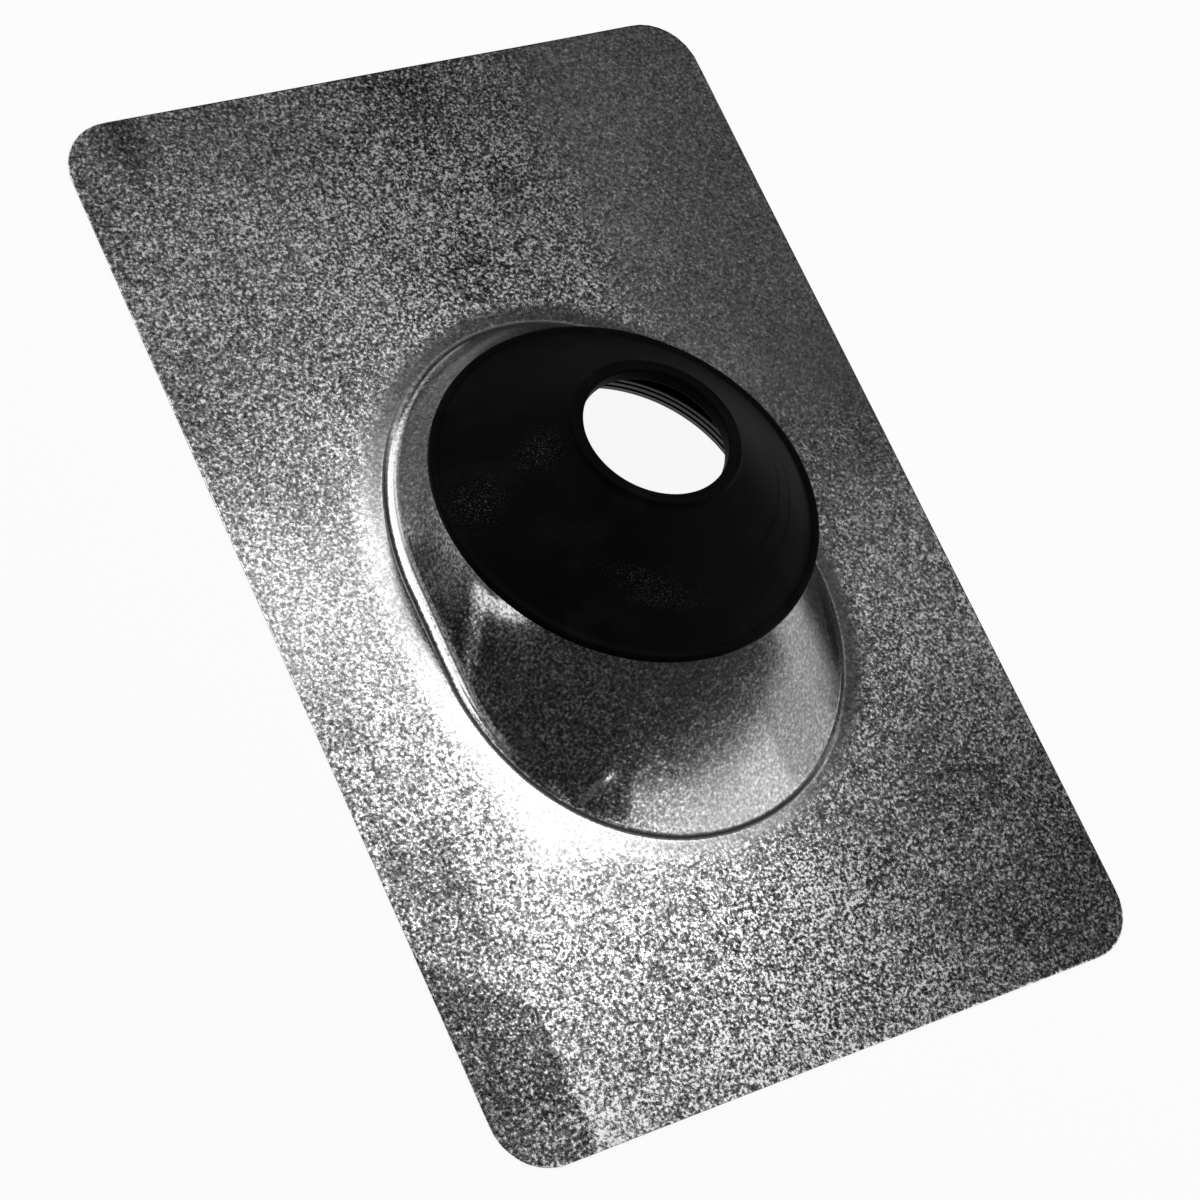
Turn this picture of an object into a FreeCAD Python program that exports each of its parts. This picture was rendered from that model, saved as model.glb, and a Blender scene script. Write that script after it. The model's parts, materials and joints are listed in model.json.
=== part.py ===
"""Pipe flashing boot: a stamped galvanised roof sheet with a moulded rubber collar that grips a vent pipe."""
import FreeCAD, Part
import math
import os

V = FreeCAD.Vector

# The origin is the centre of the sheet's underside. +X goes across the roof, +Y up the slope
# and +Z away from the roof. All lengths are in millimetres.

# Sheet
sheet_width = 254.0
sheet_length = 381.0
metal_thickness = 0.55
sheet_corner_radius = 19.0

# Boot, drawn up out of the sheet. Its wall rises from a long foot to a round neck that leans up the
# slope. The neck's heights are measured along its leaning axis from the sheet's underside.
axis_y = 1.8
collar_tilt_deg = 9.5
foot_radius = 72.4
foot_reach_down = 36.6
foot_reach_up = 83.0
foot_bend = 4.5
neck_radius = 64.8
neck_start = 24.0
neck_length = 3.4
mouth_radius = 48.5

# The arc of the neck that the wall above each straight side of the foot runs up to
side_spread_deg = 8.0

# Collar, moulded in one piece. Its heights start at the upper face of the boot's turned-in mouth.
pipe_grip_radius = 24.9
grip_length = 4.0
collar_wall = 3.0
rim_drop = 1.0
rim_height = 2.5
rim_round = 1.4
crease_width = 2.4
crease_depth = 0.4
cone_rise = 29.6
cone_swell = 0.5
cone_step_radius = 52.7
cone_step_gap = 5.4
cone_step_depth = 0.3
lip_width = 4.5
lip_height = 2.0
lip_round = 1.4
lip_undercut = 3.0
web_thickness = 2.0
sleeve_wall = 2.4
sleeve_drop = 4.6
barb_width = 4.0
rib_count = 2
rib_spacing = 2.3
rib_height = 0.5
rib_half_width = 0.7

# Fits of the rubber on the metal
neck_clearance = 0.1
groove_clearance = 0.1

tilt = math.radians(collar_tilt_deg)
axis_direction = V(0, math.sin(tilt), math.cos(tilt))
mouth_height = neck_start + neck_length


def on_axis(height):
    """The point of the collar's leaning axis at a height measured along it from the underside."""
    return V(0, axis_y, 0) + axis_direction * height


def rounded_sheet():
    """The flat blank, with its underside on Z = 0."""
    corner = V(-sheet_width / 2, -sheet_length / 2, 0)
    blank = Part.makeBox(sheet_width, sheet_length, metal_thickness, corner)
    upright = [e for e in blank.Edges if e.BoundBox.ZLength > metal_thickness / 2]
    return blank.makeFillet(sheet_corner_radius, upright)


def neck_point(radius, height, angle_deg):
    """A point on a circle square to the collar's axis. 0 degrees is +X and 90 degrees is up the slope."""
    angle = math.radians(angle_deg)
    up_slope = V(0, math.cos(tilt), -math.sin(tilt))
    return on_axis(height) + V(1, 0, 0) * (radius * math.cos(angle)) + up_slope * (radius * math.sin(angle))


def neck_wire(radius, height):
    """The round outline where the wall meets the neck, split so that each part faces one part of the foot."""
    half = side_spread_deg / 2
    stops = [-half, half, 180 - half, 180 + half, 360 - half]
    edges = []
    for start, end in zip(stops, stops[1:]):
        angles = (start, (start + end) / 2, end)
        edges.append(Part.Arc(*[neck_point(radius, height, a) for a in angles]).toShape())
    return Part.Wire(edges)


def foot_wire(radius, reach_up, z):
    """The foot's outline: half an ellipse up the slope, straight sides and half a circle down the slope."""
    low_y = axis_y - foot_reach_down
    right_high = V(radius, axis_y, z)
    left_high = V(-radius, axis_y, z)
    left_low = V(-radius, low_y, z)
    right_low = V(radius, low_y, z)
    ellipse = Part.Ellipse(V(0, axis_y + reach_up, z), right_high, V(0, axis_y, z))
    upper = Part.ArcOfEllipse(ellipse, -math.pi / 2, math.pi / 2)
    return Part.Wire([
        Part.LineSegment(right_low, right_high).toShape(),
        upper.toShape(),
        Part.LineSegment(left_high, left_low).toShape(),
        Part.Arc(left_low, V(0, low_y - radius, z), right_low).toShape(),
    ])


def edges_on_plane(shape, point, normal, reach):
    """The edges that lie in a plane and within reach of a point in it."""
    found = []
    for edge in shape.Edges:
        first = edge.FirstParameter
        span = edge.LastParameter - first
        samples = [edge.valueAt(first + span * k / 4) - point for k in range(5)]
        if all(abs(s.dot(normal)) < 0.01 and s.Length < reach for s in samples):
            found.append(edge)
    return found


def raised_boot(slab, slab_top, foot, reach_up, neck, top, bend):
    """A slab with the boot's wall and neck standing on it, and the bend round the foot rounded."""
    outlines = [foot_wire(foot, reach_up, slab_top), neck_wire(neck, neck_start)]
    wall = Part.makeLoft(outlines, True, True)
    round_neck = Part.makeCylinder(neck, top - neck_start, on_axis(neck_start), axis_direction)
    form = slab.fuse(wall).fuse(round_neck).removeSplitter()
    foot_edges = edges_on_plane(form, V(0, axis_y, slab_top), V(0, 0, 1), foot + reach_up)
    return form.makeFillet(bend, foot_edges)


def flashing_base():
    """The stamped sheet: blank, boot, neck and turned-in mouth, all of one metal thickness."""
    outside = raised_boot(rounded_sheet(), metal_thickness, foot_radius, foot_reach_up,
                          neck_radius, mouth_height, foot_bend)
    side_angle = math.atan2(neck_start, foot_radius - neck_radius)
    inset = metal_thickness * math.tan(side_angle / 2)
    reach = foot_radius + foot_reach_down + foot_reach_up
    under_roof = Part.makeBox(2 * reach, 2 * reach, reach, V(-reach, axis_y - reach, -reach))
    inside = raised_boot(under_roof, 0.0, foot_radius - inset, foot_reach_up - inset,
                         neck_radius - metal_thickness, mouth_height - metal_thickness,
                         foot_bend + metal_thickness)
    mouth = Part.makeCylinder(mouth_radius, 2 * neck_length, on_axis(neck_start), axis_direction)
    return outside.cut(inside).cut(mouth)


def rounded_profile(corners):
    """A closed face in the X-Z plane through (radius, height, rounding) corners."""
    points = [V(r, 0, h) for r, h, rounding in corners]
    bends = []
    for i, corner in enumerate(corners):
        rounding = corner[2]
        here = points[i]
        back = (points[i - 1] - here).normalize()
        ahead = (points[(i + 1) % len(points)] - here).normalize()
        if rounding == 0:
            bends.append((here, here, here))
            continue
        half_angle = back.getAngle(ahead) / 2
        setback = rounding / math.tan(half_angle)
        inward = (back + ahead).normalize()
        centre = here + inward * (rounding / math.sin(half_angle))
        bends.append((here + back * setback, centre - inward * rounding, here + ahead * setback))
    edges = []
    for i, (start, middle, end) in enumerate(bends):
        if start != end:
            edges.append(Part.Arc(start, middle, end).toShape())
        next_start = bends[(i + 1) % len(bends)][0]
        edges.append(Part.LineSegment(end, next_start).toShape())
    return Part.Face(Part.Wire(edges))


def sealing_ribs(radius, middle_height):
    """Corners of the ridges in the sleeve's bore, from the top one down."""
    corners = []
    for i in range(rib_count):
        height = middle_height + rib_spacing * ((rib_count - 1) / 2 - i)
        corners.append((radius, height + rib_half_width, 0))
        corners.append((radius - rib_height, height, 0))
        corners.append((radius, height - rib_half_width, 0))
    return corners


def pipe_collar():
    """The moulded collar: rim, stepped cone, grip lip, and the barbed sleeve that holds the mouth's edge."""
    skirt_inner = neck_radius + neck_clearance
    rim_radius = skirt_inner + collar_wall
    crease_radius = rim_radius - crease_width
    cone_foot_radius = crease_radius - crease_depth
    cone_foot = rim_height - crease_depth
    lip_radius = pipe_grip_radius + lip_width
    cone_run = cone_foot_radius - lip_radius
    second_step_radius = cone_step_radius - cone_step_gap

    def cone_face(radius, steps_above):
        """Height of the cone's outer face, swollen a little and one step lower past each step."""
        share = (cone_foot_radius - radius) / cone_run
        swell = 4 * cone_swell * share * (1 - share)
        return cone_foot + cone_rise * share + swell - steps_above * cone_step_depth

    lip_foot = cone_face(lip_radius, 2)
    lip_top = lip_foot + lip_height
    grip_foot = lip_top - lip_round - grip_length
    slope = math.atan2(cone_rise, cone_run)
    inner_cone_foot = cone_foot - collar_wall / math.cos(slope)
    web_end = cone_foot_radius - (web_thickness - inner_cone_foot) / math.tan(slope)
    sleeve_outer = mouth_radius - groove_clearance
    sleeve_inner = sleeve_outer - sleeve_wall
    barb_top = -metal_thickness - groove_clearance
    first_drop = cone_step_radius + cone_step_depth
    second_drop = second_step_radius + cone_step_depth
    corners = [
        (skirt_inner, -rim_drop, 0),
        (rim_radius, -rim_drop, 0),
        (rim_radius, rim_height, rim_round),
        (crease_radius, rim_height, 0),
        (cone_foot_radius, cone_foot, 0),
        (first_drop, cone_face(first_drop, 0), 0),
        (cone_step_radius, cone_face(cone_step_radius, 1), 0),
        (second_drop, cone_face(second_drop, 1), 0),
        (second_step_radius, cone_face(second_step_radius, 2), 0),
        (lip_radius, lip_foot, 0),
        (lip_radius, lip_top, lip_round),
        (pipe_grip_radius, lip_top, lip_round),
        (pipe_grip_radius, grip_foot, 0),
        (pipe_grip_radius + lip_undercut, grip_foot - lip_undercut, 0),
        (web_end, web_thickness, 0),
        (sleeve_inner, web_thickness, 0),
        *sealing_ribs(sleeve_inner, (web_thickness - sleeve_drop) / 2),
        (sleeve_inner, -sleeve_drop, 0),
        (sleeve_outer, -sleeve_drop, 0),
        (sleeve_outer + barb_width, barb_top, 0),
        (sleeve_outer, barb_top, 0),
        (sleeve_outer, 0, 0),
        (skirt_inner, 0, 0),
    ]
    collar = rounded_profile(corners).revolve(V(0, 0, 0), V(0, 0, 1), 360)
    lean = FreeCAD.Rotation(V(0, 0, 1), axis_direction)
    collar.Placement = FreeCAD.Placement(on_axis(mouth_height), lean)
    return collar


if __name__ == "__main__":
    os.makedirs("parts", exist_ok=True)
    pieces = {"flashing_base": flashing_base(), "pipe_collar": pipe_collar()}
    for name, solid in pieces.items():
        solid.exportStep("parts/" + name + ".step")
        print(name, "valid", solid.isValid(), "faces", len(solid.Faces), "volume", round(solid.Volume, 1))
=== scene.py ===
# %% [markdown]
# # Pipe flashing boot
#
# A roof flashing for a vent pipe. It is one stamped sheet of galvanised steel, drawn up into a
# leaning boot, with a black moulded rubber collar on top that grips the pipe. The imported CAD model
# is loaded as a fixed frame: every piece made here is in metres and sits where the CAD says.

# %% Load the frame
import json
import math

import bpy
import numpy as np
from mathutils import Euler, Matrix, Vector


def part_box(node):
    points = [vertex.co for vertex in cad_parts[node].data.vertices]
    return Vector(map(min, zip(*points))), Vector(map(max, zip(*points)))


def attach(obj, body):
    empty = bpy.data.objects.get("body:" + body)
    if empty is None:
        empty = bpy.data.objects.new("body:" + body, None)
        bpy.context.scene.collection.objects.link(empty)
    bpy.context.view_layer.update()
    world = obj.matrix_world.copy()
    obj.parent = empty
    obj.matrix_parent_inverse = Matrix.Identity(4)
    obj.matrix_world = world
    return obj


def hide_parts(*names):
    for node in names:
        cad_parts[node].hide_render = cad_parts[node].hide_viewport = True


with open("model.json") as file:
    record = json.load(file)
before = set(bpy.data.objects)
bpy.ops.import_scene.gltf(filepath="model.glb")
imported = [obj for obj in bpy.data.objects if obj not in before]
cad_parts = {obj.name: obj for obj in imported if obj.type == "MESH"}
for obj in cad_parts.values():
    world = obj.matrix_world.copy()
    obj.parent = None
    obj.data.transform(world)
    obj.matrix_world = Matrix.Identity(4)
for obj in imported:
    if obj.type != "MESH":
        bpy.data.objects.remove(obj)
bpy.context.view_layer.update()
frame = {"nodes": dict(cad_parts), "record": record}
sheet_low, sheet_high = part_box("flashing_base")
print("CAD nodes", sorted(frame["nodes"]), "sheet", [round(v, 4) for v in (sheet_high - sheet_low)])

# %% [markdown]
# ## Sizes
#
# The looks need the same shape as the CAD, so its driving sizes are written here once, in metres.
# The sheet's size is read from the frame, less a hair, so that rounding never takes it over the CAD
# box. The collar's axis leans up the slope, which is +Y, and comes from the mount where the pipe goes
# through. The last four sizes are the looks' own: how much the wall hollows, how deep the die's line
# is, how high the metal swells beside it, and how far the dent pushes it.

# %% Sizes that the sheet, the boot and the collar share
trim = 0.00001
half_width = sheet_high.x - trim
half_length = sheet_high.y - trim
corner_radius = 0.019
metal = 0.00055

pipe_grip = next(m for m in frame["record"]["mounts"] if m["name"] == "pipe_grip")
axis = np.array(pipe_grip["axis"])
grip_middle = np.array(pipe_grip["pos_m"])
axis_foot = grip_middle - axis * (grip_middle[2] / axis[2])
across = np.array([1.0, 0.0, 0.0])
up_slope = np.cross(axis, across)

foot_radius = 0.0724
foot_reach_down = 0.0366
foot_reach_up = 0.0830
foot_bend = 0.0045
neck_radius = 0.0648
neck_start = 0.0240
mouth_height = 0.0274
mouth_radius = 0.0485
side_spread = math.radians(8.0)
wall_hollow = 0.12
die_line_depth = 0.00022
press_swell = 0.00035
dent_depth = 0.0007
lean = math.degrees(math.asin(axis[1]))
print("axis", axis.round(4), "leans", round(lean, 2), "degrees, foot", axis_foot.round(5))

# %% [markdown]
# ## From rings to a mesh
#
# Both pieces are closed loops stacked one after the other: the sheet's rings run from the mouth out
# to the sheet's edge, the collar's rings run round its moulded section. A grid of rings and spokes
# keeps the quads even and the shading smooth, which matters on metal, where each kink shows as a
# break in the reflection. `ring_mesh` turns an array of points, ring by ring, into such a mesh.

# %% A mesh from a stack of rings
def ring_mesh(name, rings, closed_section=False):
    """A smooth mesh object from points in an array of shape (rings, spokes, 3).

    The rings of an open stack run outwards, those of a closed section turn the other way, so the
    faces are wound to suit and look out of the piece.
    """
    ring_count, spoke_count, _ = rings.shape
    steps = ring_count if closed_section else ring_count - 1
    winding = 1 if closed_section else -1
    faces = []
    for i in range(steps):
        here = i * spoke_count
        there = (i + 1) % ring_count * spoke_count
        for j in range(spoke_count):
            k = (j + 1) % spoke_count
            faces.append((here + j, here + k, there + k, there + j)[::winding])
    mesh = bpy.data.meshes.new(name)
    mesh.from_pydata(rings.reshape(-1, 3).tolist(), [], faces)
    mesh.update()
    mesh.shade_smooth()
    piece = bpy.data.objects.new(name, mesh)
    bpy.context.scene.collection.objects.link(piece)
    print(name, len(mesh.vertices), "vertices", len(faces), "faces")
    return piece


# %% [markdown]
# ## The boot's outlines
#
# The drawn wall is a ruled surface: straight lines join a long foot on the sheet to the round neck.
# The foot is half an ellipse up the slope, a straight side, half a circle down the slope and a
# straight side back. Each stretch faces its own arc of the neck, just as in the CAD, and each
# stretch gets its share of the spokes. The spokes of the lower half circle crowd together at a small
# dent, so that the mesh is fine enough there to hold its shape.

# %% Foot and neck, spoke by spoke
upper_spokes = 150
side_spokes = 26
lower_spokes = 190
spokes = upper_spokes + lower_spokes + 2 * side_spokes
low_y = axis_foot[1] - foot_reach_down
dent_turn = math.radians(222.0)
dent_width = 0.12
dent_crowding = 2.5


def stretch(start, end, count):
    """Evenly spaced values from start up to, but without, end."""
    return np.linspace(start, end, count, endpoint=False)


def crowded(start, end, count, middle, width, crowding, samples=4000):
    """Values from start up to end that lie closer together round a middle value."""
    fine = np.linspace(start, end, samples)
    density = 1 + crowding * np.exp(-((fine - middle) / width) ** 2)
    total = np.concatenate([[0], np.cumsum((density[1:] + density[:-1]) / 2)])
    return np.interp(stretch(0, total[-1], count), total, fine)


half_spread = side_spread / 2
half_turn = math.pi
full_turn = 2 * math.pi
upper = stretch(0, half_turn, upper_spokes)
lower = crowded(half_turn, full_turn, lower_spokes, dent_turn, dent_width, dent_crowding)
upper_foot = np.column_stack([foot_radius * np.cos(upper), axis_foot[1] + foot_reach_up * np.sin(upper)])
lower_foot = np.column_stack([foot_radius * np.cos(lower), low_y + foot_radius * np.sin(lower)])
left_y = stretch(axis_foot[1], low_y, side_spokes)
left_foot = np.column_stack([np.full(side_spokes, -foot_radius), left_y])
right_y = stretch(low_y, axis_foot[1], side_spokes)
right_foot = np.column_stack([np.full(side_spokes, foot_radius), right_y])
foot = np.vstack([upper_foot, left_foot, lower_foot, right_foot])
foot = np.column_stack([foot, np.full(spokes, metal)])
turn_share = (lower - half_turn) / half_turn
neck_angle = np.concatenate([
    stretch(half_spread, half_turn - half_spread, upper_spokes),
    stretch(half_turn - half_spread, half_turn + half_spread, side_spokes),
    half_turn + half_spread + turn_share * (half_turn - 2 * half_spread),
    stretch(-half_spread, half_spread, side_spokes),
])
print("spokes", spokes, "foot from", foot.min(0).round(4), "to", foot.max(0).round(4))

# %% [markdown]
# ## Neck, wall and bend
#
# A circle square to the leaning axis gives the neck. Between the wall and the sheet the press leaves
# a rounded bend. In the plane square to the foot's outline, a bend of radius r between the flat
# sheet and a wall that slopes by an angle b starts r * tan(b / 2) before the corner on both sides,
# so its centre and its sweep are known for every spoke. Drawn metal also hollows a little between
# foot and neck. Each line of the wall is a shallow curve with one control point, which leaves the
# bend a few degrees flatter than a straight line would and reaches the neck as much steeper.

# %% Points on the neck, the wall and the bend
def around_axis(radius, height, angle):
    """Points on a circle round the leaning axis. The angle counts from +X towards up the slope."""
    side = np.outer(np.cos(angle), across) + np.outer(np.sin(angle), up_slope)
    return axis_foot + axis * height + radius * side


def unit(vectors):
    """The same directions with a length of 1."""
    return vectors / np.linalg.norm(vectors, axis=1, keepdims=True)


neck = around_axis(neck_radius, neck_start, neck_angle)
along = unit(np.roll(foot, -1, axis=0) - np.roll(foot, 1, axis=0))
outward = np.column_stack([along[:, 1], -along[:, 0], np.zeros(spokes)])
ruling = neck - foot
climb = unit(ruling - along * np.sum(ruling * along, axis=1)[:, None])
slope = np.arctan2(climb[:, 2], -np.sum(climb * outward, axis=1))
foot_slope = slope - wall_hollow
foot_climb = np.sin(foot_slope)[:, None] * np.array([0, 0, 1.0]) - np.cos(foot_slope)[:, None] * outward
bend_reach = foot_bend * np.tan(foot_slope / 2)
bend_outer = foot + outward * bend_reach[:, None]
bend_inner = foot + foot_climb * bend_reach[:, None]
bend_centre = bend_outer + np.array([0, 0, foot_bend])
run = neck - bend_inner
run_length = np.linalg.norm(run, axis=1)[:, None]
along_run = np.sum(run * along, axis=1)[:, None]
wall_control = bend_inner + (foot_climb * run_length + along * along_run) / 2


def wall_ring(share):
    """A ring in the wall: 0 is the neck, 1 is where the wall meets the bend."""
    return neck * (1 - share) ** 2 + wall_control * 2 * share * (1 - share) + bend_inner * share ** 2


def bend_ring(share):
    """A ring in the bend: 0 is where it leaves the flat sheet, 1 is where it meets the wall."""
    turned = foot_slope * share
    fall = -np.cos(turned)[:, None] * np.array([0, 0, 1.0])
    inward = -np.sin(turned)[:, None] * outward
    return bend_centre + foot_bend * (fall + inward)


print("slope", round(math.degrees(slope.min()), 1), "to", round(math.degrees(slope.max()), 1), "degrees")

# %% [markdown]
# ## The sheet's edge
#
# Each spoke runs on from the foot to the edge of the sheet, a rectangle with round corners. A ray
# from the sheet's middle through the spoke's direction meets the straight sides first, and inside a
# corner it is pulled back on to the corner's circle.

# %% Edge of the sheet, spoke by spoke
def edge_point(direction):
    """Where a ray from the sheet's middle meets the rectangle with round corners."""
    dx, dy = abs(direction[0]), abs(direction[1])
    far = min(half_width / max(dx, 1e-9), half_length / max(dy, 1e-9))
    x, y = dx * far, dy * far
    corner_x, corner_y = half_width - corner_radius, half_length - corner_radius
    if x > corner_x and y > corner_y:
        along_ray = dx * corner_x + dy * corner_y
        gap = corner_x ** 2 + corner_y ** 2 - corner_radius ** 2
        far = along_ray + math.sqrt(along_ray ** 2 - gap)
        x, y = dx * far, dy * far
    return math.copysign(x, direction[0]), math.copysign(y, direction[1])


spoke_middle = np.array([0.0, (foot[:, 1].max() + foot[:, 1].min()) / 2, 0.0])
foot_direction = foot - spoke_middle
edge_spread = 1.2
aim = np.column_stack([foot_direction[:, 0], foot_direction[:, 1] * edge_spread])
aim /= np.linalg.norm(aim, axis=1, keepdims=True)
edge = np.array([(*edge_point(d), metal) for d in aim])
print("edge from", edge.min(0).round(4), "to", edge.max(0).round(4))

# %% [markdown]
# ## Rings of the pressed sheet
#
# Where a straight side of the foot runs into the lower half circle, a ruled wall turns its slope
# within a few millimetres. Real metal spreads such a turn. `settled` evens out a ring's points near
# these two places, most at mid height and not at all at the neck and at the bend.

# %% Rings of the pressed sheet, from the mouth to the sheet's edge
spoke_index = np.arange(spokes)
left_turn = upper_spokes + side_spokes
right_turn = left_turn + lower_spokes
turn_width = 14
near_turn = sum(np.exp(-((spoke_index - turn) / turn_width) ** 2) for turn in (left_turn, right_turn))
settling_passes = 60
settling_margin = 0.15


def settled(ring, share):
    """A wall ring with its points evened out where the wall turns."""
    even = ring
    for _ in range(settling_passes):
        even = (np.roll(even, 1, axis=0) + 2 * even + np.roll(even, -1, axis=0)) / 4
    weight = near_turn * min(1, share / settling_margin, (1 - share) / settling_margin)
    return ring + (even - ring) * weight[:, None]


flange_rings = 6
neck_rounding = 0.001
upright_heights = (0.0256, 0.0246)
wall_rings = 40
bend_rings = 15
bend_crowding = 1.5
near_foot = np.array([0.25, 0.5, 0.75, 1.0, 1.3, 1.7, 2.2, 3.0, 4.0, 5.2, 6.6, 8.2, 10.0, 12.5]) * 0.001
flat_rings = 34
flat_crowding = 1.15
edge_strip = 0.0004
rings = []
for radius in np.linspace(mouth_radius, neck_radius - neck_rounding, flange_rings):
    rings.append(around_axis(radius, mouth_height, neck_angle))
for bend in (30, 60, 90):
    inset = neck_rounding * (1 - math.sin(math.radians(bend)))
    drop = neck_rounding * (1 - math.cos(math.radians(bend)))
    rings.append(around_axis(neck_radius - inset, mouth_height - drop, neck_angle))
for height in upright_heights:
    rings.append(around_axis(neck_radius, height, neck_angle))
for share in stretch(0, 1, wall_rings):
    rings.append(settled(wall_ring(share), share))
first_bend = len(rings)
bend_shares = np.linspace(1, 0, bend_rings) ** bend_crowding
for share in bend_shares:
    rings.append(bend_ring(share))
for distance in near_foot:
    rings.append(bend_outer + outward * distance)
last_near = rings[-1]
for step in range(1, flat_rings - 1):
    share = (step / (flat_rings - 1)) ** flat_crowding
    rings.append(last_near + (edge - last_near) * share)
rings.append(edge - unit(edge - last_near) * edge_strip)
rings.append(edge)
sheet_rings = np.array(rings)
first_flat = len(rings) - flat_rings - len(near_foot)

# %% [markdown]
# ## What the press left
#
# A stamped sheet is never quite flat. The die's edge prints a fine line round the foot, and the metal
# swells a little towards the bend, most on the left and down the slope, where the press bore
# hardest. Further out the sheet has waves of a fraction of a millimetre, which hardly change its
# outline but steer its reflection. All of it moves the rings' points up or a little down, and never
# below the sheet's own underside.

# %% Die line, swell and waves
die_line_gap = 0.0005
die_line_width = 0.0003
swell_reach = 0.0055
wave_height = 0.00012
waves_begin = 0.020


def smooth(value):
    """0 below 0, 1 above 1, and a smooth step between."""
    value = np.clip(value, 0, 1)
    return value * value * (3 - 2 * value)


def hump(value, middle, width, power=2):
    """1 at the middle and a third one width away. A power of 4 gives it a flatter top."""
    return np.exp(-((value - middle) / width) ** power)


def waves(x, y):
    """How far the never quite flat sheet stands up at a point, in metres."""
    return wave_height * (np.sin(x * 57 + 1.0) * np.sin(y * 39 + 0.5) + 1)


flat = sheet_rings[first_flat:]
gap = np.linalg.norm((flat - bend_outer)[:, :, :2], axis=2)
press_side = smooth((0.25 - outward[:, 0] - outward[:, 1]) / 0.9)
die_line = -die_line_depth * hump(gap, die_line_gap, die_line_width)
swell_height = press_swell * hump(gap, 0, swell_reach) * np.clip(gap / die_line_width, 0, 1)
flat[:, :, 2] += press_side * (die_line + swell_height)
flat[:, :, 2] += smooth(gap / waves_begin) * waves(flat[:, :, 0], flat[:, :, 1])
print("the sheet's edge stands up to", round(float(flat[-1, :, 2].max()) * 1000, 2), "mm high")

# %% [markdown]
# ## A small dent
#
# One dent sits at the foot of the wall: two short creases that meet in a V. Each crease is a line in
# plan, and the metal along it is pushed up and outwards. The push fades to nothing towards the
# sheet, so that the foot's outline stays whole.

# %% Two creases
crease_share = 0.55
fade_height = 0.0012
dent_push = np.array([-0.30, -0.42, 0.86])
creases = [
    ((-0.0600, -0.0740), (-0.0548, -0.0838), 0.0012),
    ((-0.0531, -0.0843), (-0.0410, -0.0800), 0.0016),
]
push = np.zeros(sheet_rings.shape[:2])
for start, end, width in creases:
    start, end = np.array(start), np.array(end)
    length = np.linalg.norm(end - start)
    along_crease = (end - start) / length
    offset = sheet_rings[:, :, :2] - (start + end) / 2
    lengthwise = hump(offset @ along_crease, 0, crease_share * length, 4)
    sideways = hump(offset @ np.array([-along_crease[1], along_crease[0]]), 0, width)
    push = np.maximum(push, dent_depth * lengthwise * sideways)
push[first_flat:] = 0
push *= np.clip(sheet_rings[:, :, 2] / fade_height, 0, 1)
sheet_rings += push[:, :, None] * dent_push
print("the dent pushes the metal by", round(float(push.max()) * 1000, 2), "mm")

# %% [markdown]
# ## The sheet's mesh
#
# The rings are the sheet's upper face. A Solidify modifier adds the metal's thickness below it, which
# is how real sheet behaves: one face is drawn, and the other follows at a constant distance.

# %% The sheet's mesh and its metal
sheet_piece = ring_mesh("galvanised_sheet", sheet_rings)
thickness = sheet_piece.modifiers.new("metal", "SOLIDIFY")
thickness.thickness = metal
thickness.offset = -1
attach(sheet_piece, "root")
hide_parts("flashing_base")

# %% [markdown]
# ## Marks, painted vertex by vertex
#
# A real flashing carries marks that no even pattern gives, and light and shade are painted in too:
# shade in the line round the foot, a band that the press polished with a painted sheen on one side,
# darker patches, painted shade and highlights. Each kind of mark is one number per vertex, worked out
# from where the vertex lies and stored on the mesh under a name, and the finish reads it by that
# name. So the marks stay on the metal in every view, with no image.

# %% Where each vertex of the sheet lies
def paint(piece, name, values):
    """Store one number per vertex, which a finish can read by name."""
    layer = piece.data.attributes.new(name, "FLOAT", "POINT")
    layer.data.foreach_set("value", np.asarray(values, float).ravel())
    print(name, "from", round(float(np.min(values)), 3), "to", round(float(np.max(values)), 3))


def near(middle, reach):
    """1 at a point in millimetres, fading out over its reach along X, Y and Z."""
    return np.exp(-np.sum(((sheet_rings * 1000 - np.array(middle)) / np.array(reach)) ** 2, axis=2))


x_mm, y_mm = sheet_rings[:, :, 0] * 1000, sheet_rings[:, :, 1] * 1000
ring_number = np.arange(len(sheet_rings))[:, None]
in_bend = ring_number >= first_bend
on_flat = ring_number >= first_flat
bend_end = -foot_bend * foot_slope
ring_gap = np.full(sheet_rings.shape[:2], -0.010)
ring_gap[first_bend:first_flat] = bend_shares[:, None] * bend_end
ring_gap[first_flat:] = gap
on_left = smooth((-outward[:, 0] - 0.55) / 0.3) * smooth((outward[:, 1] + 0.45) / 0.25)
on_left *= 1 - 0.8 * smooth((outward[:, 1] - 0.45) / 0.3)
print("from the foot line", round(ring_gap.min() * 1000, 1), "to", round(ring_gap.max() * 1000, 1), "mm")
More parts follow.
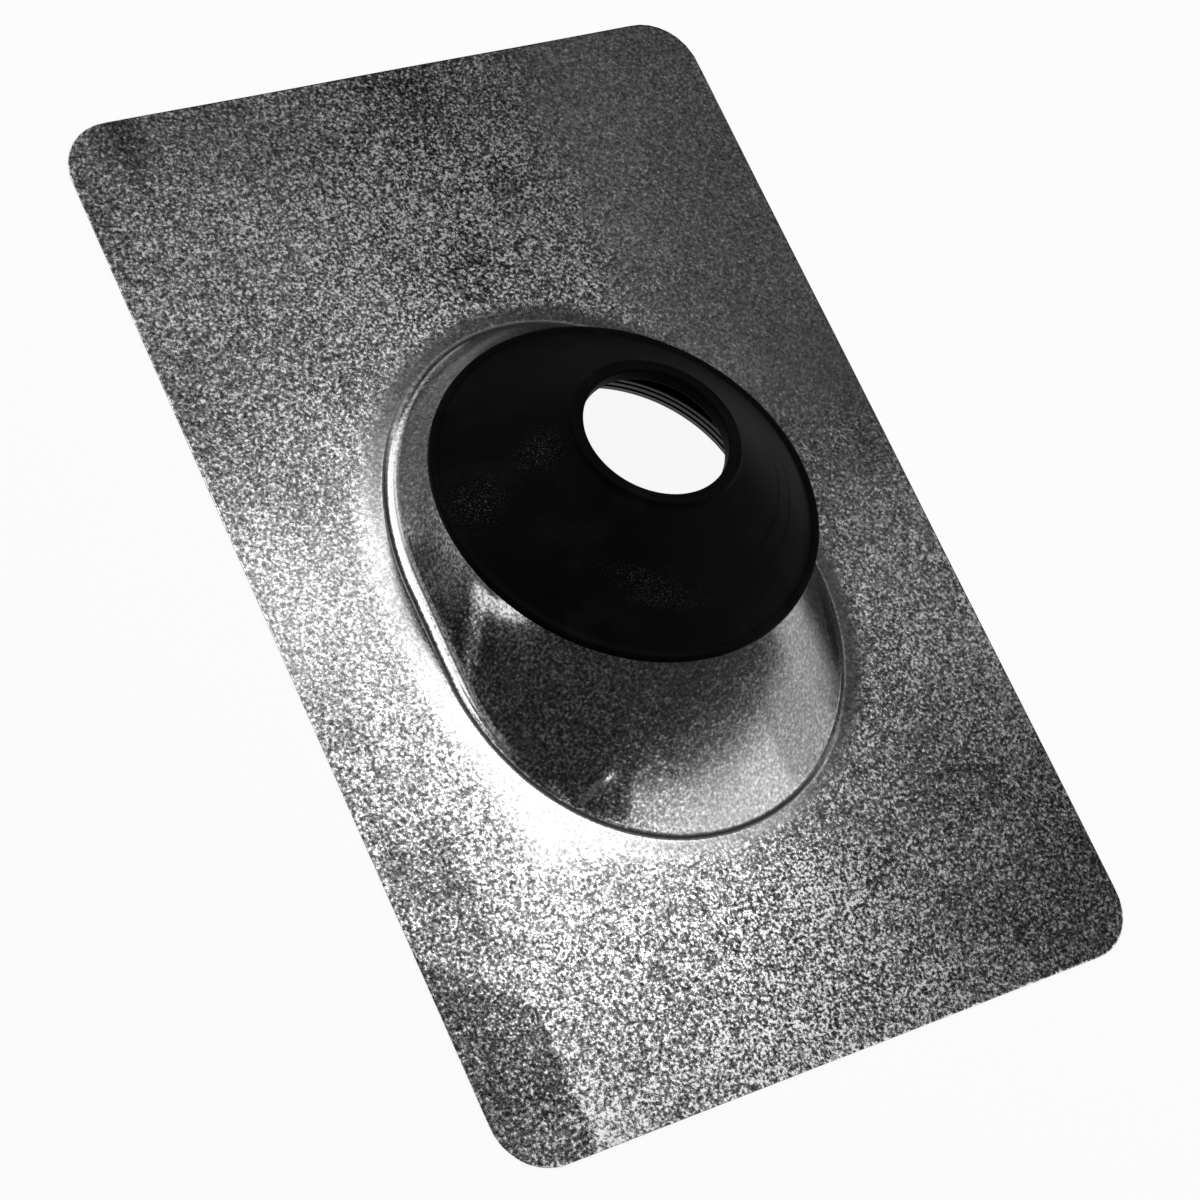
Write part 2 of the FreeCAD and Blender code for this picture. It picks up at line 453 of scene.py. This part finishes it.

# %% [markdown]
# ### Painted shade, polish and painted sheen along the bend
#
# Shade is painted into the line where the bend leaves the sheet, and on the left into a second line
# where the bend meets the wall. Beside the foot's line the press rubbed the zinc smooth, and on the
# left and down the slope a bright sheen is painted on this band and on the bend. How far the polished
# band reaches is a table of distances by the way that the foot faces, because it is widest at the
# lower left.

# %% Painted shade, polish and painted sheen
# Painted shade: the crease line at the foot and, on the left, the line where the bend meets the wall are
# darkened.
foot_line = (0.1 + 0.9 * press_side) * hump(ring_gap, -0.0001, 0.0009, 4)
upper_line = 0.8 * on_left * hump(ring_gap, bend_end, 0.0007)
foot_faces = np.degrees(np.arctan2(outward[:, 1], outward[:, 0])) % 360
band_faces = [0, 120, 150, 180, 200, 212, 219, 227, 236, 250, 270, 360]
band_reach = np.array([6, 6, 9, 11, 11, 17, 25, 17, 11, 7.5, 6, 6]) * 0.001
band_width = np.interp(foot_faces, band_faces, band_reach)
polish_and_sheen = np.where(on_flat, hump(np.maximum(ring_gap, 0), 0, band_width, 4), 0.2 * in_bend * on_left)
paint(sheet_piece, "crease_shade", np.maximum(foot_line, upper_line))
paint(sheet_piece, "burnish", polish_and_sheen)
# Painted sheen: on the left and down the slope the polished band, and on the left the bend, are painted
# brighter.
paint(sheet_piece, "painted_sheen", np.where(on_flat, polish_and_sheen * press_side, 1.5 * in_bend * on_left))

# %% [markdown]
# ### How strong the grain is
#
# The zinc's grain isn't the same all over. It is strong up the middle of the sheet and along its
# lower end, and calm beside the boot and at the upper right. On the drawn wall it was stretched
# smooth, more so towards the right and up the slope. The sheet's cut edge is darker at its upper end.

# %% Grain by region, drawn metal and the cut edge
up_middle = smooth((y_mm - 70) / 30) * hump(x_mm, 0, 38)
low_middle = smooth((-112 - y_mm) / 22) * hump(x_mm, -5, 70)
up_right = smooth((x_mm - 35) / 30) * smooth((y_mm - 10) / 30)
low_left = smooth((-20 - y_mm) / 60) * smooth((-60 - x_mm) / 40)
top_band = smooth((y_mm - 150) / 25) * smooth((50 - x_mm) / 30)
beside_boot = hump(y_mm, 10, 42)
flat_grain = 1.45 + 0.6 * up_middle + 0.72 * low_middle + 0.15 * low_left
flat_grain -= 0.75 * up_right + 0.25 * top_band + 0.5 * beside_boot
wall_grain = 1.05 - 0.6 * smooth((x_mm + 48) / 44) - 0.5 * smooth((y_mm - 5) / 35)
cut_edge = np.zeros_like(ring_gap)
cut_edge[-1] = smooth(sheet_rings[-1, :, 1] / 0.1)
paint(sheet_piece, "speckle", np.where(on_flat, flat_grain, wall_grain))
paint(sheet_piece, "drawn", np.where(on_flat, 0, np.ones_like(ring_gap)))
paint(sheet_piece, "sheared", cut_edge)

# %% [markdown]
# ### Darker patches and painted shade
#
# The lower left corner is painted darker: a patch with a slanting margin, a streak that runs up from
# it, a tail to its right and a softer margin along the left edge. Painted shade darkens fainter bands
# near the upper edge and the foot of the wall's left side.

# %% Darker patches and painted shade
corner_top = -108 - 0.9 * (x_mm + 127)
corner_patch = smooth((corner_top - y_mm) / 10) * smooth(0.5 + (-96 - x_mm) / 4)
streak = 0.6 * hump(x_mm, -104, 9) * smooth((-70 - y_mm) / 16) * smooth((y_mm + 128) / 10)
tail_y = y_mm + 0.15 * (x_mm + 100)
tail = 0.6 * hump(tail_y, -120, 4) * smooth((-82 - x_mm) / 8) * smooth((x_mm + 116) / 6)
left_margin = 0.5 * smooth((-99 - x_mm) / 14) * smooth((4 - y_mm) / 30)
low_dark_patches = np.maximum.reduce([corner_patch, streak, tail, left_margin])
# Painted shade: bands near the upper edge are darkened.
top_shade_bands = 0.45 * smooth((y_mm - 135) / 30) * hump(x_mm, -103, 10)
top_shade_bands += 0.36 * smooth((y_mm - 85) / 30) * hump(x_mm, 5, 16) + 0.2 * smooth((y_mm - 160) / 20)
# Painted shade at the foot of the wall's left side.
wall_shade = near((-66, -22, 11), (9, 13, 9))
paint(sheet_piece, "dark_patches_and_shade", np.where(on_flat, low_dark_patches + top_shade_bands, wall_shade))

# %% [markdown]
# ### Soft spots of painted shade and light
#
# Soft spots of painted shade darken the metal from place to place, and a few of painted light lighten
# it. Each spot is a place in millimetres, how far it reaches along X and Y, and the share by which it
# darkens the metal, or lightens it where the share is below zero.

# %% Soft spots of painted shade and light
painted_shade_spots = [
    ((-106, -88), (24, 36), 0.34),
    ((2, 106), (14, 13), 0.40),
    ((84, -100), (18, 36), 0.28),
    ((2, 172), (36, 22), 0.18),
    ((20, -165), (34, 16), 0.18),
    ((119, 20), (10, 34), 0.20),
    ((-117, 24), (16, 24), -0.35),
    ((80, 132), (20, 42), -0.25),
    ((-105, -183), (22, 9), -0.65),
    ((-121, 84), (9, 16), 0.25),
    ((-121, 158), (9, 16), 0.25),
]
spot_shade_values = np.zeros_like(ring_gap)
for (spot_x, spot_y), (reach_x, reach_y), share in painted_shade_spots:
    spot_shade_values += share * hump(x_mm, spot_x, reach_x) * hump(y_mm, spot_y, reach_y)
# Painted shade and light: these soft spots darken or lighten the colour.
paint(sheet_piece, "spot_shade", np.where(on_flat, spot_shade_values, 0))

# %% [markdown]
# ### Painted highlights
#
# Highlights and reflections are painted brighter into the metal: a reflection on the wall under the
# collar's left side, a sheen beside it, highlights on the dent's creases, and on the sheet a thin
# strip near the lower left corner and the edge there.

# %% Painted highlights
highlight_under_collar = near((-61, -13, 28), (9, 17, 8))
left_painted_sheen = 0.4 * near((-69, 9, 12), (9, 17, 12))
crease_highlights = 1.5 * (push / dent_depth) ** 2
low_highlight_strip = 0.3 * hump(x_mm, -90, 5) * smooth((-158 - y_mm) / 12)
low_highlight_strip[-1] = smooth((-85 - x_mm[-1]) / 30)
# Painted highlights: these places are painted brighter into the metal's colour.
paint(sheet_piece, "painted_highlight", np.where(on_flat, low_highlight_strip, highlight_under_collar + left_painted_sheen + crease_highlights))

# %% [markdown]
# ## The collar
#
# The collar is moulded rubber: a rim that caps the neck, a cone with two shallow steps, a lip that
# grips the pipe, and inside the neck a ribbed sleeve with a barb. It is round, so it is one section
# swept round the leaning axis. The section is a list of corners, each with its own rounding, and the
# helper replaces a rounded corner by a short arc.

# %% A section with rounded corners
def rounded_section(corners, arc_steps=5):
    """Points along a closed outline of (radius, height, rounding) corners."""
    points = np.array([(r, h) for r, h, rounding in corners])
    outline = []
    for i, (r, h, rounding) in enumerate(corners):
        here = points[i]
        back = points[i - 1] - here
        ahead = points[(i + 1) % len(points)] - here
        room = min(np.linalg.norm(back), np.linalg.norm(ahead))
        back /= np.linalg.norm(back)
        ahead /= np.linalg.norm(ahead)
        half = math.acos(np.clip(back @ ahead, -1, 1)) / 2
        rounding = min(rounding, 0.49 * room * math.tan(half))
        setback = rounding / math.tan(half)
        middle = (back + ahead) / np.linalg.norm(back + ahead)
        centre = here + middle * rounding / math.sin(half)
        start = here + back * setback - centre
        end = here + ahead * setback - centre
        sweep = math.pi - 2 * half
        for step in range(arc_steps + 1):
            t = step / arc_steps
            a = math.sin((1 - t) * sweep) / math.sin(sweep)
            b = math.sin(t * sweep) / math.sin(sweep)
            outline.append(centre + a * start + b * end)
    return np.array(outline)


# %% The collar's sizes
mm = 0.001
skirt_inner = neck_radius + 0.1 * mm
rim_radius = skirt_inner + 3.0 * mm
rim_foot = mouth_height - 1.0 * mm
rim_top = mouth_height + 2.5 * mm
crease_radius = rim_radius - 2.4 * mm
cone_foot_radius = crease_radius - 0.4 * mm
cone_foot = rim_top - 0.4 * mm
cone_rise = 29.3 * mm
grip_radius = pipe_grip["dims"]["r_mm"] * mm
lip_radius = grip_radius + 4.5 * mm
swell = 0.5 * mm
step_radii = (52.7 * mm, 47.3 * mm)
step_depth = 0.15 * mm
step_run = 1.1 * mm


def cone_face(radius):
    """Height of the cone's outer face, swollen a little and lower past each step."""
    share = (cone_foot_radius - radius) / (cone_foot_radius - lip_radius)
    passed = sum(1 for step in step_radii if radius <= step + 1e-6)
    return cone_foot + cone_rise * share + 4 * swell * share * (1 - share) - passed * step_depth


lip_foot = cone_face(lip_radius)
lip_top = lip_foot + 2.0 * mm
print("lip from", round(lip_foot, 4), "to", round(lip_top, 4))

# %% The collar's section
sleeve_outer = mouth_radius - 0.1 * mm
sleeve_inner = sleeve_outer - 2.4 * mm
sleeve_foot = mouth_height - 4.6 * mm
web_top = mouth_height + 2.0 * mm
barb_top = mouth_height - metal - 0.1 * mm
barb_width = 4.0 * mm
grip_foot = lip_top - 5.4 * mm
grip_flare = 3.0 * mm
web_reach = 60.2 * mm
section = [
    (skirt_inner, rim_foot, 0.2 * mm),
    (rim_radius, rim_foot, 0.5 * mm),
    (rim_radius, rim_top, 1.4 * mm),
    (crease_radius, rim_top, 0.3 * mm),
    (cone_foot_radius, cone_foot, 0.3 * mm),
]
for radius in (62 * mm, 59 * mm, 56 * mm):
    section.append((radius, cone_face(radius), 0.5 * mm))
for radius in step_radii:
    section.append((radius + step_run, cone_face(radius + step_run), 1.5 * mm))
    section.append((radius, cone_face(radius), 1.5 * mm))
for radius in (43 * mm, 39 * mm, 35 * mm, 32 * mm):
    section.append((radius, cone_face(radius), 0.5 * mm))
section += [
    (lip_radius, lip_foot, 2.0 * mm),
    (lip_radius, lip_top, 1.4 * mm),
    (grip_radius, lip_top, 1.4 * mm),
    (grip_radius, grip_foot, 0.6 * mm),
    (grip_radius + grip_flare, grip_foot - grip_flare, 0.8 * mm),
    (web_reach, web_top, 0.8 * mm),
    (sleeve_inner, web_top, 0.8 * mm),
]
rib_pitch = 2.3 * mm
rib_half = 0.7 * mm
rib_depth = 0.5 * mm
rib_rounding = 0.3 * mm
rib_middle = (web_top + sleeve_foot) / 2
for rib in (0.5, -0.5):
    height = rib_middle + rib * rib_pitch
    section.append((sleeve_inner, height + rib_half, rib_rounding))
    section.append((sleeve_inner - rib_depth, height, rib_rounding))
    section.append((sleeve_inner, height - rib_half, rib_rounding))
section += [
    (sleeve_inner, sleeve_foot, 0.5 * mm),
    (sleeve_outer, sleeve_foot, 0.5 * mm),
    (sleeve_outer + barb_width, barb_top, 0.3 * mm),
    (sleeve_outer, barb_top, 0.05 * mm),
    (sleeve_outer, mouth_height, 0.05 * mm),
    (skirt_inner, mouth_height, 0.05 * mm),
]
outline = rounded_section(section)
print("collar section", len(outline), "points")

# %% Sweep the section round the axis
collar_spokes = 240
collar_angle = stretch(0, 2 * math.pi, collar_spokes)
collar_rings = np.array([around_axis(r, h, collar_angle) for r, h in outline])
collar_piece = ring_mesh("rubber_collar", collar_rings, closed_section=True)
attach(collar_piece, "root")
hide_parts("pipe_collar")

# %% [markdown]
# ## Painted glints on the collar
#
# Glints are painted as pale specks into the black rubber's colour: two patches on the cone's left side
# and two short arcs of painted highlight along its steps. They are painted like the sheet's marks. So
# is the bore, whose skin is glossier, because it came off the mould's polished core.

# %% Painted glints and the bore
glint_patches = [((-58, 14, 34), 8), ((-37, 19, 49), 6)]
glint_turns = (252, 240)
glint_values = np.zeros(collar_rings.shape[:2])
for middle, reach in glint_patches:
    away = np.linalg.norm(collar_rings * 1000 - np.array(middle), axis=2)
    glint_values = np.maximum(glint_values, hump(away, 0, reach))
section_radius, section_height = outline[:, 0], outline[:, 1]
on_cone = section_height > rim_top
for step_radius, turn in zip(step_radii, glint_turns):
    across_arc = hump(section_radius, step_radius + 0.6 * mm, 0.9 * mm) * on_cone
    along_arc = hump(np.degrees(collar_angle), turn, 13)
    glint_values = np.maximum(glint_values, 0.7 * across_arc[:, None] * along_arc)
in_bore = (section_radius < sleeve_inner + 0.3 * mm) & (section_height < web_top)
# Painted glints: pale specks and arcs of highlight to be added to the rubber's colour.
paint(collar_piece, "painted_glints", glint_values)
paint(collar_piece, "bore", in_bore[:, None] * np.ones_like(glint_values))

# %% [markdown]
# ## Shader maths in Python
#
# Finishes are built from nodes, and written as expressions. `Signal` wraps one output of a node, so
# that plus, minus and times between signals and numbers add Math nodes. `Finish` holds a material.
# Its method `node` adds any other node from its type, its settings and its sockets' values or links,
# and the short methods below it name the nodes that these finishes use most.

# %% Two small classes for the finishes
class Signal:
    """One output of a node. Arithmetic on it adds Math nodes to its finish."""

    def __init__(self, finish, socket):
        self.finish = finish
        self.socket = socket

    def math(self, operation, first, second=0.0, clamp=False):
        """The result of a Math node."""
        settings = {"operation": operation, "use_clamp": clamp}
        return self.finish.node("ShaderNodeMath", settings, {0: first, 1: second})

    def __add__(self, other):
        return self.math("ADD", self, other)

    def __radd__(self, other):
        return self.math("ADD", other, self)

    def __sub__(self, other):
        return self.math("SUBTRACT", self, other)

    def __rsub__(self, other):
        return self.math("SUBTRACT", other, self)

    def __mul__(self, other):
        return self.math("MULTIPLY", self, other)

    def __rmul__(self, other):
        return self.math("MULTIPLY", other, self)

    def clamped(self):
        return self.math("MULTIPLY", self, 1.0, clamp=True)

    def exponential(self):
        return self.math("EXPONENT", self)


class Finish:
    """A material whose nodes are added one by one."""

    def __init__(self, name):
        self.material = bpy.data.materials.new(name)
        self.material.use_nodes = True
        self.material.node_tree.nodes.clear()

    def node(self, kind, settings=None, sockets=None, output=0):
        """Add a node: its settings first, then its sockets' values or links."""
        node = self.material.node_tree.nodes.new(kind)
        for key, value in (settings or {}).items():
            setattr(node, key, value)
        for key, value in (sockets or {}).items():
            if isinstance(value, Signal):
                self.material.node_tree.links.new(value.socket, node.inputs[key])
            else:
                node.inputs[key].default_value = value
        return Signal(self, node.outputs[output]) if node.outputs else None

    def place(self):
        """Where a point lies on the object, in metres."""
        return self.node("ShaderNodeTexCoord", {}, {}, "Object")

    def painted(self, name):
        """The numbers that were painted on the mesh under a name."""
        return self.node("ShaderNodeAttribute", {"attribute_name": name}, {}, "Fac")

    def noise(self, place, scale, detail=2.0, roughness=0.5, distortion=0.0):
        """Soft cloudy noise from 0 to 1 about its mean of 0.5. Its scale is in cells per metre."""
        sockets = {"Vector": place, "Scale": scale, "Detail": detail,
                   "Roughness": roughness, "Distortion": distortion}
        return self.node("ShaderNodeTexNoise", {}, sockets)

    def range(self, value, low, high, to_low=0.0, to_high=1.0):
        """A smooth step from one level to another while the value goes from low to high."""
        sockets = {"Value": value, "From Min": low, "From Max": high, "To Min": to_low, "To Max": to_high}
        return self.node("ShaderNodeMapRange", {"interpolation_type": "SMOOTHSTEP"}, sockets)

    def grey(self, value):
        """A grey colour of the given level."""
        return self.node("ShaderNodeCombineColor", {}, {"Red": value, "Green": value, "Blue": value})


# %% [markdown]
# ## Galvanised steel
#
# Hot-dip zinc is a metal, so it is mostly reflection. What the eye reads as zinc is its fine grain:
# crystals about a millimetre across, each a little lighter or darker and tilted a little
# differently. Four noises from fine grain to wide patches and a cell pattern describe it. The numbers
# painted on the sheet come in under their names.

# %% Zinc grain and the painted marks
zinc = Finish("galvanised_zinc")
on_sheet = zinc.place()
grain = zinc.noise(on_sheet, 900, 2.0, 0.65)
clump = zinc.noise(on_sheet, 210, 2.0, 0.5, 0.5)
cloud = zinc.noise(on_sheet, 28, 3.0, 0.5)
patches = zinc.noise(on_sheet, 60, 3.0, 0.6)
cells = zinc.node("ShaderNodeTexVoronoi", {}, {"Vector": on_sheet, "Scale": 1100}, "Color")
crystal = zinc.node("ShaderNodeSeparateColor", {}, {"Color": cells})
burnish, painted_sheen, speckle = [zinc.painted(name) for name in ("burnish", "painted_sheen", "speckle")]
crease_shade, drawn, sheared = [zinc.painted(name) for name in ("crease_shade", "drawn", "sheared")]
dark_patches_and_shade, spot_shade, painted_highlight = [zinc.painted(name) for name in ("dark_patches_and_shade", "spot_shade", "painted_highlight")]
print("nodes in the zinc's grain", len(zinc.material.node_tree.nodes))

# %% [markdown]
# The grain's parts are added up and go through an exponential, because reflectance varies by ratios:
# dark grains stay above zero and a few light ones sparkle. The marks multiply the result: polish
# evens it, a painted sheen brightens the polished band on the left and down the slope, and the band is
# a little darker elsewhere. Painted highlights brighten it. Painted shade darkens the crease lines,
# bands near the upper edge and the wall's lower left. Soft spots of painted shade and light darken or
# lighten it. Darker patches, the cut edge and a nick near the upper edge darken it, and the nick shows as
# one dark dot. Its top is capped, because no zinc reflects all light.

# %% Zinc colour
zinc_level = 0.232
brightest_zinc = 0.92
nick_place = (-0.007, 0.1845, metal)
contrast = speckle * (1 - 0.75 * burnish) * (0.7 + 0.6 * patches)
sparkle = zinc.range(crystal, 0.80, 1.0)
spots = 6.2 * (grain - 0.5) + (0.55 + 0.3 * drawn) * (clump - 0.5)
spots = spots + 0.3 * (crystal - 0.5) + 0.4 * sparkle
tone = contrast * (spots + 0.5 * (cloud - 0.5))
# A painted sheen brightens the band and the bend on the left, and soft spots of painted shade and light
# darken or lighten the metal.
painted_sheen_and_shade = (1 + 2.3 * painted_sheen) * (1 - 0.45 * burnish) * (1 - spot_shade)
# The darker patches and the painted shade darken the metal through this mask, with a ragged edge from the
# noises.
patch_shade = zinc.range(dark_patches_and_shade + 0.5 * (clump - 0.5) + 0.5 * (cloud - 0.5), 0.25, 0.75)
from_nick = zinc.node(
    "ShaderNodeVectorMath", {"operation": "DISTANCE"}, {0: on_sheet, 1: nick_place}, "Value")
nick = 1 - zinc.range(from_nick, 0.0009, 0.0024)
# The painted shade in the crease lines darkens the colour here, together with the other dark marks.
marks = (1 - 0.97 * crease_shade) * (1 - 0.6 * sheared) * (1 - 0.62 * patch_shade) * (1 - 0.85 * nick)
# The painted highlights raise the colour here by up to about three times.
level = zinc_level * tone.exponential() * (1 + 0.15 * drawn) * (1 + 2.2 * painted_highlight) * painted_sheen_and_shade * marks
zinc_colour = zinc.grey(level.math("MINIMUM", level, brightest_zinc))

# %% [markdown]
# Roughness and relief come from the same noises, so that a grain that is lighter is also tilted and
# shines a little differently. Where shade is painted into the crease lines, the surface is rough and no
# longer a metal. Without that, even a black metal would mirror the lamps at a low angle.

# %% Zinc roughness, relief and shader
smoother = 0.06 * burnish + 0.06 * drawn
zinc_roughness = 0.24 + 0.10 * (crystal - 0.5) + 0.10 * (cloud - 0.5) + 0.5 * crease_shade - smoother
relief = (grain + 0.35 * crystal) * (1 - 0.5 * drawn)
zinc_normal = zinc.node("ShaderNodeBump", {}, {"Height": relief, "Distance": 0.00003, "Strength": 0.6})
zinc_shader = zinc.node("ShaderNodeBsdfPrincipled", {}, {
    "Base Color": zinc_colour, "Metallic": 1 - 0.9 * crease_shade,
    "Roughness": zinc_roughness, "Normal": zinc_normal})
zinc.node("ShaderNodeOutputMaterial", {}, {"Surface": zinc_shader})
sheet_piece.data.materials.append(zinc.material)
print("nodes in the zinc", len(zinc.material.node_tree.nodes))

# %% [markdown]
# ## Moulded rubber
#
# The collar is black rubber with a dull skin, so its colour and its gloss are both very low. A single
# black would look like a hole in the picture. So the colour wanders a little, the gloss varies in
# soft patches where hands and the mould touched it, glints are painted as pale specks, and a very fine
# relief breaks up the highlights. A coat on the bore alone gives its ribs a thin shine.

# %% Rubber
rubber = Finish("moulded_rubber")
on_collar = rubber.place()
patch = rubber.noise(on_collar, 45, 3.0, 0.55)
skin = rubber.noise(on_collar, 900, 3.0, 0.6)
pits = rubber.noise(on_collar, 1700, 1.0, 0.5)
painted_glints = rubber.painted("painted_glints")
bore = rubber.painted("bore")
handled = rubber.range(patch, 0.52, 0.66)
glint_specks = rubber.range(pits, 0.56, 0.70) * painted_glints
# Painted glints: the specks add pale colour where glints are painted.
rubber_level = 0.003 + 0.002 * (patch - 0.5) + 0.003 * handled * skin + 0.06 * glint_specks
rubber_colour = rubber.grey(rubber_level)
rubber_roughness = 0.46 + 0.16 * (patch - 0.5) + 0.10 * (skin - 0.5) - 0.22 * bore
rubber_relief = skin + 0.5 * (handled + 2 * painted_glints) * pits
rubber_normal = rubber.node("ShaderNodeBump", {}, {
    "Height": rubber_relief, "Distance": 0.00002, "Strength": 0.5})
rubber_shader = rubber.node("ShaderNodeBsdfPrincipled", {}, {
    "Base Color": rubber_colour, "Roughness": rubber_roughness, "Specular IOR Level": 0.013,
    "Coat Weight": bore, "Coat Roughness": 0.2, "Normal": rubber_normal})
rubber.node("ShaderNodeOutputMaterial", {}, {"Surface": rubber_shader})
collar_piece.data.materials.append(rubber.material)
print("nodes in the rubber", len(rubber.material.node_tree.nodes))

# %% [markdown]
# ## Floor
#
# The flashing lies on a plain pale floor. What the camera and mirror-like surfaces see of it glows
# evenly, so that the background is a clean near-white without more light on the object, while a lit
# share keeps the soft shadow. The floor lies a hair below the sheet, so that the two never share a
# plane.

# %% Floor
floor_width = 6
floor_drop = 0.0004
glow_share = 0.92
bpy.ops.mesh.primitive_plane_add(size=floor_width, location=(0, 0, -floor_drop))
floor = bpy.context.object
floor.name = "floor"
paper = Finish("pale_floor")
seen = paper.node("ShaderNodeLightPath", {}, {}, "Is Camera Ray")
for kind in ("Is Glossy Ray", "Is Transmission Ray"):
    seen = seen + paper.node("ShaderNodeLightPath", {}, {}, kind)
lit = paper.node("ShaderNodeBsdfDiffuse", {}, {"Color": (0.8, 0.8, 0.8, 1)})
glowing = paper.node("ShaderNodeEmission", {}, {"Color": (1, 1, 1, 1), "Strength": 1.0})
floor_surface = paper.node("ShaderNodeMixShader", {}, {0: glow_share * seen.clamped(), 1: lit, 2: glowing})
paper.node("ShaderNodeOutputMaterial", {}, {"Surface": floor_surface})
floor.data.materials.append(paper.material)
print("floor at", round(floor.location.z * 1000, 2), "mm")

# %% [markdown]
# ## Camera
#
# The camera stands down the slope to the left and looks steeply down, turned a little so that the
# sheet lies across the frame. A long lens keeps the sheet's edges nearly parallel.

# %% Camera
camera_data = bpy.data.cameras.new("camera")
camera = bpy.data.objects.new("camera", camera_data)
bpy.context.scene.collection.objects.link(camera)
bpy.context.scene.camera = camera
camera_data.lens = 100.127
camera_data.clip_end = 20
aim_point = Vector((-0.02293, -0.02559, 0.0200))
camera_distance = 1.09065
camera_azimuth = math.radians(62.680)
camera_height = math.radians(55.215)
camera_roll = math.radians(41.729)
toward = Vector((-math.sin(camera_azimuth) * math.cos(camera_height),
                 -math.cos(camera_azimuth) * math.cos(camera_height), math.sin(camera_height)))
camera.location = aim_point + toward * camera_distance
upright = toward.to_track_quat("Z", "Y").to_matrix()
roll = Euler((0, 0, camera_roll)).to_matrix()
camera.rotation_euler = (upright @ roll).to_euler()
print("camera at", [round(v, 3) for v in camera.location])

# %% [markdown]
# ## Light
#
# Plain soft studio light: an even low light from all sides and large panels. A flat metal sheet shows
# the camera what it mirrors, so each region of the sheet takes its tone from the panel that stands
# where its reflection looks. Five panels hang level over the upper right, each for a part of the
# flat sheet, and near_main gives the bright stretch at the left. The two front panels light the
# boot's front wall and its right end, and the three at the back light the far side and fill in.

# %% World
world = bpy.data.worlds.new("studio")
bpy.context.scene.world = world
world.use_nodes = True
surroundings = world.node_tree.nodes["Background"]
surroundings.inputs["Color"].default_value = (1, 1, 1, 1)
surroundings.inputs["Strength"].default_value = 0.07


# %% A softbox
def softbox(name, centre, edge_way, width, height, glow, target=(0, 0, 0)):
    """A glowing panel that faces a target, with its long edge along a direction.

    Its glow is its brightness as the camera would see it: 1 is as bright as a white sheet of paper
    in full light.
    """
    lamp_data = bpy.data.lights.new(name, "AREA")
    lamp_data.shape = "RECTANGLE"
    lamp_data.size = width
    lamp_data.size_y = height
    lamp_data.energy = math.pi * width * height * glow
    lamp = bpy.data.objects.new(name, lamp_data)
    bpy.context.scene.collection.objects.link(lamp)
    away = (Vector(centre) - Vector(target)).normalized()
    rise = away.cross(Vector(edge_way)).normalized()
    side = rise.cross(away)
    lamp.location = centre
    lamp.rotation_euler = Matrix((side, rise, away)).transposed().to_euler()
    lamp.visible_camera = False
    print(name, "energy", round(lamp_data.energy, 3))
    return lamp


# %% Level panels over the sheet
panel_height = 0.45
for name, x, y, edge_way, width, height, glow in (
    ("near_main", 0.168, 0.078, (0.95, 0.31, 0), 0.20, 0.25, 3.3),
    ("near_low", 0.21, -0.10, (1, 0, 0), 0.26, 0.14, 0.95),
    ("near_top", 0.14, 0.30, (1, 0, 0), 0.24, 0.19, 0.45),
    ("wide_top", 0.32, 0.34, (1, 0, 0), 0.46, 0.30, 0.15),
    ("near_right", 0.455, 0.075, (1, 0, 0), 0.14, 0.13, 0.60),
):
    softbox(name, (x, y, panel_height), edge_way, width, height, glow, (x, y, 0))

# %% Panels that face the boot
softbox("front_right", (0.44, -0.56, 0.70), (0.90, 0.14, -0.44), 1.0, 0.44, 2.1)
softbox("front_far", (0.907, -0.343, 0.246), (0.41, 0.574, -0.709), 0.46, 0.38, 1.0)
softbox("back_high", (-0.21, 0.37, 0.91), (0.87, 0.5, 0), 0.7, 0.45, 2.6)
softbox("back_low", (-0.53, 0.53, 0.67), (0.71, 0.71, 0), 1.3, 0.40, 1.0)
softbox("back_horizon", (-0.33, 0.90, 0.31), (0.94, 0.34, 0), 1.5, 0.35, 0.8)
bpy.context.scene.view_settings.view_transform = "Standard"
